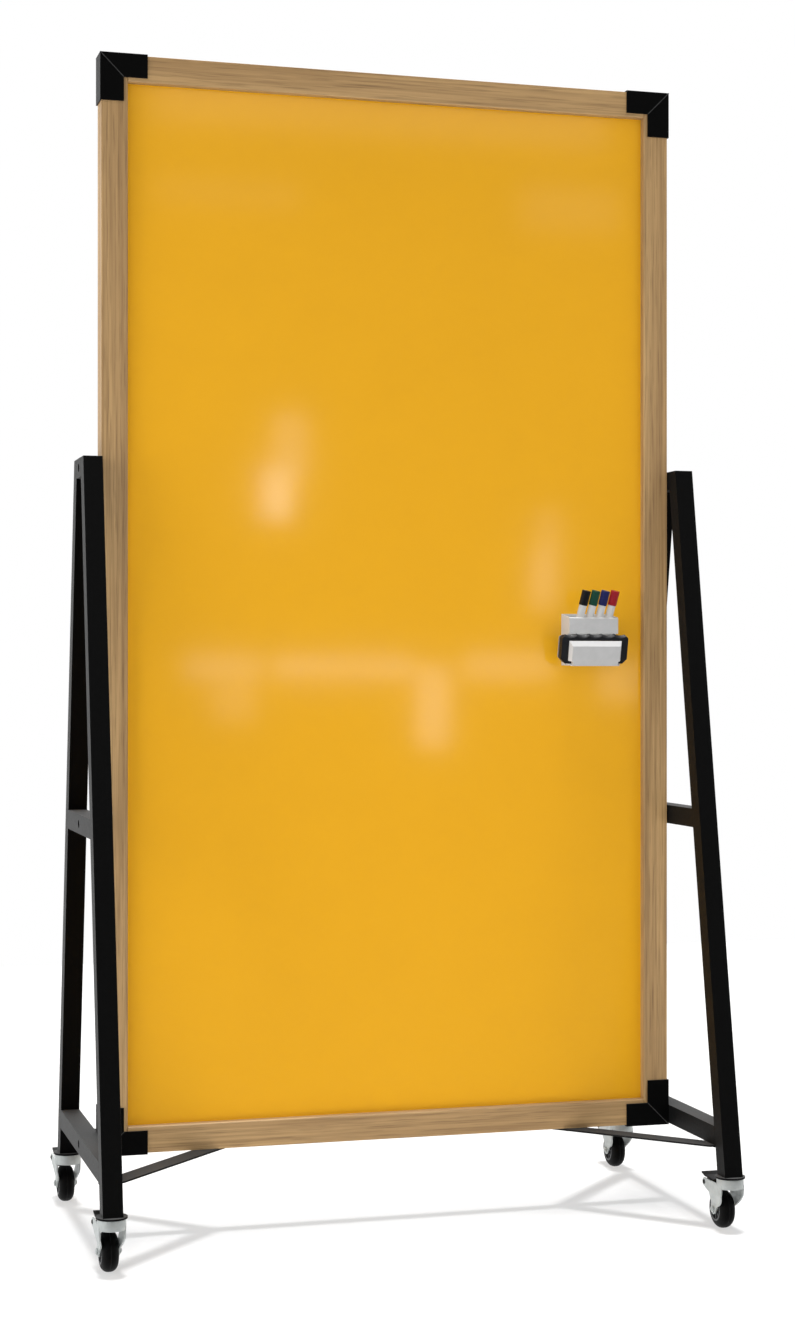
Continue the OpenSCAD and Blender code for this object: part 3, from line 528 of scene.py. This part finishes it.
grip = grained("polypropylene_matt", ERASER_TONES, grain=3.0, roughness=(0.45, 0.55),
               height=0.06, IOR=1.49, Specular_IOR_Level=0.3)
dress(grip, "eraser_body", eased=ERASER_EASED)
wool = grained("wool_felt_pressed", FELT_TONES, grain=1.5, roughness=(0.85, 1.0),
               height=0.4, Sheen_Weight=0.4)
pad = frame["nodes"]["eraser_felt"].data.copy()
pad.materials.clear()
pad.materials.append(wool)
felt = fit("eraser_felt_pad", pad, Matrix.Identity(4), "eraser", "felt", "eraser_felt")
remesh = felt.modifiers.new("felt_body", "REMESH")
remesh.voxel_size = FELT_CELL
remesh.use_smooth_shade = True
soften = felt.modifiers.new("soft_edges", "SMOOTH")
soften.iterations = FELT_SOFTENING
fuzz = bpy.data.textures.new("felt_fuzz", "CLOUDS")
fuzz.noise_scale = 2 * FELT_CELL
raised = felt.modifiers.new("felt_fuzz", "DISPLACE")
raised.texture = fuzz
raised.strength = FELT_FUZZ
raised.mid_level = 1.0

# The markers: white polypropylene barrels with a plug in the foot, a neck and a fibre nib under the cap.
# The caps are pushed on, and each is moulded in the colour of its ink.
INKS = {"black": ("#121215", "#17171A"), "green": ("#103A2D", "#134233"),
        "blue": ("#171C4C", "#1B2156"), "red": ("#82101C", "#8C1420")}
BARREL_TONES = ("#B9B9B8", "#B1B1B0")
BARREL_CHAMFER = 0.8 * MM
SHOULDER_CHAMFER = 0.5 * MM
NECK_R = 5.0 * MM
NECK_L = 14.0 * MM
NIB_R = 2.3 * MM
NIB_L = 6.0 * MM
NIB_SUNK = 2.0 * MM
PLUG_L = 7.0 * MM
GROOVE = 0.4 * MM
CAP_BORE_R = 5.05 * MM
CAP_ROOF = 4.0 * MM
CAP_ROUND = 1.2 * MM
CAP_LIP = 0.3 * MM

barrel_plastic = grained("polypropylene_glossy", BARREL_TONES, grain=15.0, roughness=(0.3, 0.36), IOR=1.49)
for ink, tones in INKS.items():
    axis = joints[ink + "_pen_lift"]["axis"]
    matrix, barrel_r, length = seat(ink + "_marker", axis)
    shoulder = length - NIB_L - NECK_L
    neck = length - NIB_L
    made = bmesh.new()
    turn(made, [(0, 0), (barrel_r - BARREL_CHAMFER, 0), (barrel_r, BARREL_CHAMFER),
                (barrel_r, PLUG_L - GROOVE), (barrel_r - GROOVE, PLUG_L), (barrel_r, PLUG_L + GROOVE),
                (barrel_r, shoulder - SHOULDER_CHAMFER), (barrel_r - SHOULDER_CHAMFER, shoulder),
                (NECK_R, shoulder), (NECK_R, neck - BARREL_CHAMFER), (NECK_R - BARREL_CHAMFER, neck),
                (0, neck)], sides=48)
    barrel = shaped(ink + "_barrel", made, barrel_plastic)
    fit(ink + "_marker_barrel", barrel, matrix, ink + "_pen", "marker_plastic", ink + "_marker")
    made = bmesh.new()
    turn(made, [(0, neck - NIB_SUNK), (NIB_R, neck - NIB_SUNK)]
         + arc((0, length - NIB_R), NIB_R, 0, 90, steps=6)[:-1] + [(0, length)], sides=24)
    fibre = grained(ink + "_fibre_nib", tones, grain=0.8, roughness=(0.8, 0.95), height=0.1)
    fit(ink + "_marker_nib", shaped(ink + "_nib", made, fibre), matrix, ink + "_pen", ink + "_cap_plastic")
    matrix, cap_r, cap_l = seat(ink + "_marker_cap", axis)
    made = bmesh.new()
    turn(made, [(0, cap_l - CAP_ROOF), (CAP_BORE_R, cap_l - CAP_ROOF), (CAP_BORE_R, 0),
                (cap_r - CAP_LIP, 0), (cap_r, CAP_LIP)]
         + arc((cap_r - CAP_ROUND, cap_l - CAP_ROUND), CAP_ROUND, 0, 90, steps=5) + [(0, cap_l)], sides=48)
    cap_plastic = grained(ink + "_polypropylene_moulded", tones, grain=6.0, roughness=(0.3, 0.4),
                          height=0.02, IOR=1.49, Specular_IOR_Level=0.25)
    cap = shaped(ink + "_cap", made, cap_plastic)
    fit(ink + "_cap", cap, matrix, ink + "_pen_cap", ink + "_cap_plastic", ink + "_marker_cap")

# The studio: a pale matt floor under an overhead softbox, in an even white surround that is dim in front.
# A second softbox on the left brings out the left sides. The floor is hazed towards white where the camera
# sees it, and neither the floor nor the left softbox is mirrored in the gloss.
WHITE = "#FFFFFF"
FLOOR_HALF = 3.5
FLOOR_COLOUR = "#D8D8D8"
FLOOR_HAZE = 0.46
SURROUND = 0.71
OVERHEAD = 4.8
OVERHEAD_SOFTNESS = 12.0
FRONT_GLOSS = 0.06
FRONT_TO = -0.8
SIDE_FROM = 0.0
LEFT_AT = (-4.6, -1.0, 1.6)
LEFT_SIZE = 3.0
LEFT_AIM = -70
LEFT_BRIGHTNESS = 3.6

scene = bpy.context.scene
scene.view_settings.view_transform = "Standard"
made = bmesh.new()
bmesh.ops.create_grid(made, x_segments=1, y_segments=1, size=FLOOR_HALF)
white, tree = blank("floor_matt_white")
matt = add(tree, "BsdfDiffuse", {"Color": linear(FLOOR_COLOUR)}).outputs[0]
haze = add(tree, "Emission", {"Color": linear(WHITE), "Strength": 1.0}).outputs[0]
seen = add(tree, "Math", {0: add(tree, "LightPath").outputs["Is Camera Ray"], 1: FLOOR_HAZE},
           operation="MULTIPLY").outputs[0]
paled = add(tree, "MixShader", {0: seen, 1: matt, 2: haze}).outputs[0]
add(tree, "OutputMaterial", {"Surface": paled})
floor = bpy.data.objects.new("floor", shaped("floor", made, white))
scene.collection.objects.link(floor)
floor.visible_glossy = False

scene.world = bpy.data.worlds.new("white_surround")
scene.world.use_nodes = True
tree = scene.world.node_tree
tree.nodes.clear()
rays = add(tree, "LightPath").outputs
ahead = add(tree, "SeparateXYZ", {0: add(tree, "TexCoord").outputs["Generated"]}).outputs["Y"]
mirrored = add(tree, "MapRange", {"Value": ahead, "From Min": FRONT_TO, "From Max": SIDE_FROM,
                                  "To Min": FRONT_GLOSS, "To Max": 1.0}).outputs[0]
level = add(tree, "Mix", {0: rays["Is Glossy Ray"], 2: SURROUND, 3: mirrored}).outputs[0]
clear = add(tree, "Math", {0: rays["Is Camera Ray"], 1: rays["Is Transmission Ray"]}, operation="MAXIMUM")
level = add(tree, "Mix", {0: clear.outputs[0], 2: level, 3: 1.0}).outputs[0]
lit = add(tree, "Background", {"Color": linear(WHITE), "Strength": level}).outputs[0]
add(tree, "OutputWorld", {"Surface": lit})

overhead = bpy.data.lights.new("overhead_softbox", "SUN")
overhead.energy = OVERHEAD
overhead.angle = math.radians(OVERHEAD_SOFTNESS)
scene.collection.objects.link(bpy.data.objects.new("overhead_softbox", overhead))


def softbox(name, width, height, brightness, place, aim):
    """A flat lamp that looks evenly bright, turned about Z from facing +Y."""
    lamp = bpy.data.lights.new(name, "AREA")
    lamp.shape = "RECTANGLE"
    lamp.size = width
    lamp.size_y = height
    lamp.energy = brightness * math.pi * width * height
    hung = bpy.data.objects.new(name, lamp)
    hung.location = place
    hung.rotation_euler = (math.radians(90), 0, math.radians(aim))
    hung.visible_camera = False
    scene.collection.objects.link(hung)
    return hung


beside = softbox("left_softbox", LEFT_SIZE, LEFT_SIZE, LEFT_BRIGHTNESS, LEFT_AT, LEFT_AIM)
beside.visible_glossy = False

# The soft light comes from all round, so the tyres, the caddy and what it holds don't dim what is
# close behind them. Their shadows from the lamps stay.
for corner in CORNERS:
    tyre_piece = bpy.data.objects[corner + "_tyre_rubber"]
    tyre_piece.visible_glossy = False
    tyre_piece.visible_diffuse = False
for node in ("marker_caddy", "eraser_body"):
    frame["nodes"][node].visible_diffuse = False
for ink in INKS:
    bpy.data.objects[ink + "_marker_barrel"].visible_diffuse = False
    bpy.data.objects[ink + "_cap"].visible_diffuse = False

# The front lamps: small softboxes well in front of the board, which the enamel mirrors as bright patches.
# They show only in the gloss and give no other light. Each is written as its left and right, its bottom
# and top in metres, and its brightness.
FRONT_LAMP_Y = -6.0
FRONT_LAMPS = (
    (1.10, 1.23, 1.60, 1.82, 6.2),
    (1.15, 1.30, 1.78, 2.06, 2.2),
    (2.34, 2.45, 1.22, 1.48, 3.0),
    (2.36, 2.47, 1.44, 1.66, 1.6),
    (0.76, 1.10, 0.90, 1.01, 2.4),
    (1.15, 1.78, 0.91, 1.00, 3.3),
    (2.02, 2.44, 0.90, 1.02, 2.4),
    (0.88, 1.07, 0.72, 0.88, 1.4),
    (1.80, 1.95, 0.60, 0.96, 3.3),
    (2.66, 2.86, 0.80, 0.98, 2.0),
    (0.60, 2.70, 3.30, 3.55, 0.8),
    (0.62, 1.27, 2.95, 3.06, 0.5),
    (2.28, 2.76, 2.92, 3.12, 0.6),
)

for k, (left, right, bottom, top, brightness) in enumerate(FRONT_LAMPS):
    middle = ((left + right) / 2, FRONT_LAMP_Y, (bottom + top) / 2)
    lamp = softbox(f"front_lamp_{k}", right - left, top - bottom, brightness, middle, 0)
    lamp.visible_diffuse = False

# The camera stands to the left of the board, level, at the height of its middle.
# Its lens and its shift are given in pixels of a picture of this height.
IMAGE_H = 1330
FOCAL_PIXELS = 2294
HORIZON_PIXELS = 6.5
CAMERA_AT = (-1.0656, -3.808, 0.9354)
CAMERA_TURN = -15.91

camera = bpy.data.cameras.new("camera")
camera.lens = FOCAL_PIXELS / IMAGE_H * camera.sensor_width
camera.shift_y = HORIZON_PIXELS / IMAGE_H
scene.camera = bpy.data.objects.new("camera", camera)
scene.collection.objects.link(scene.camera)
scene.camera.location = CAMERA_AT
scene.camera.rotation_euler = (math.radians(90), 0, math.radians(CAMERA_TURN))
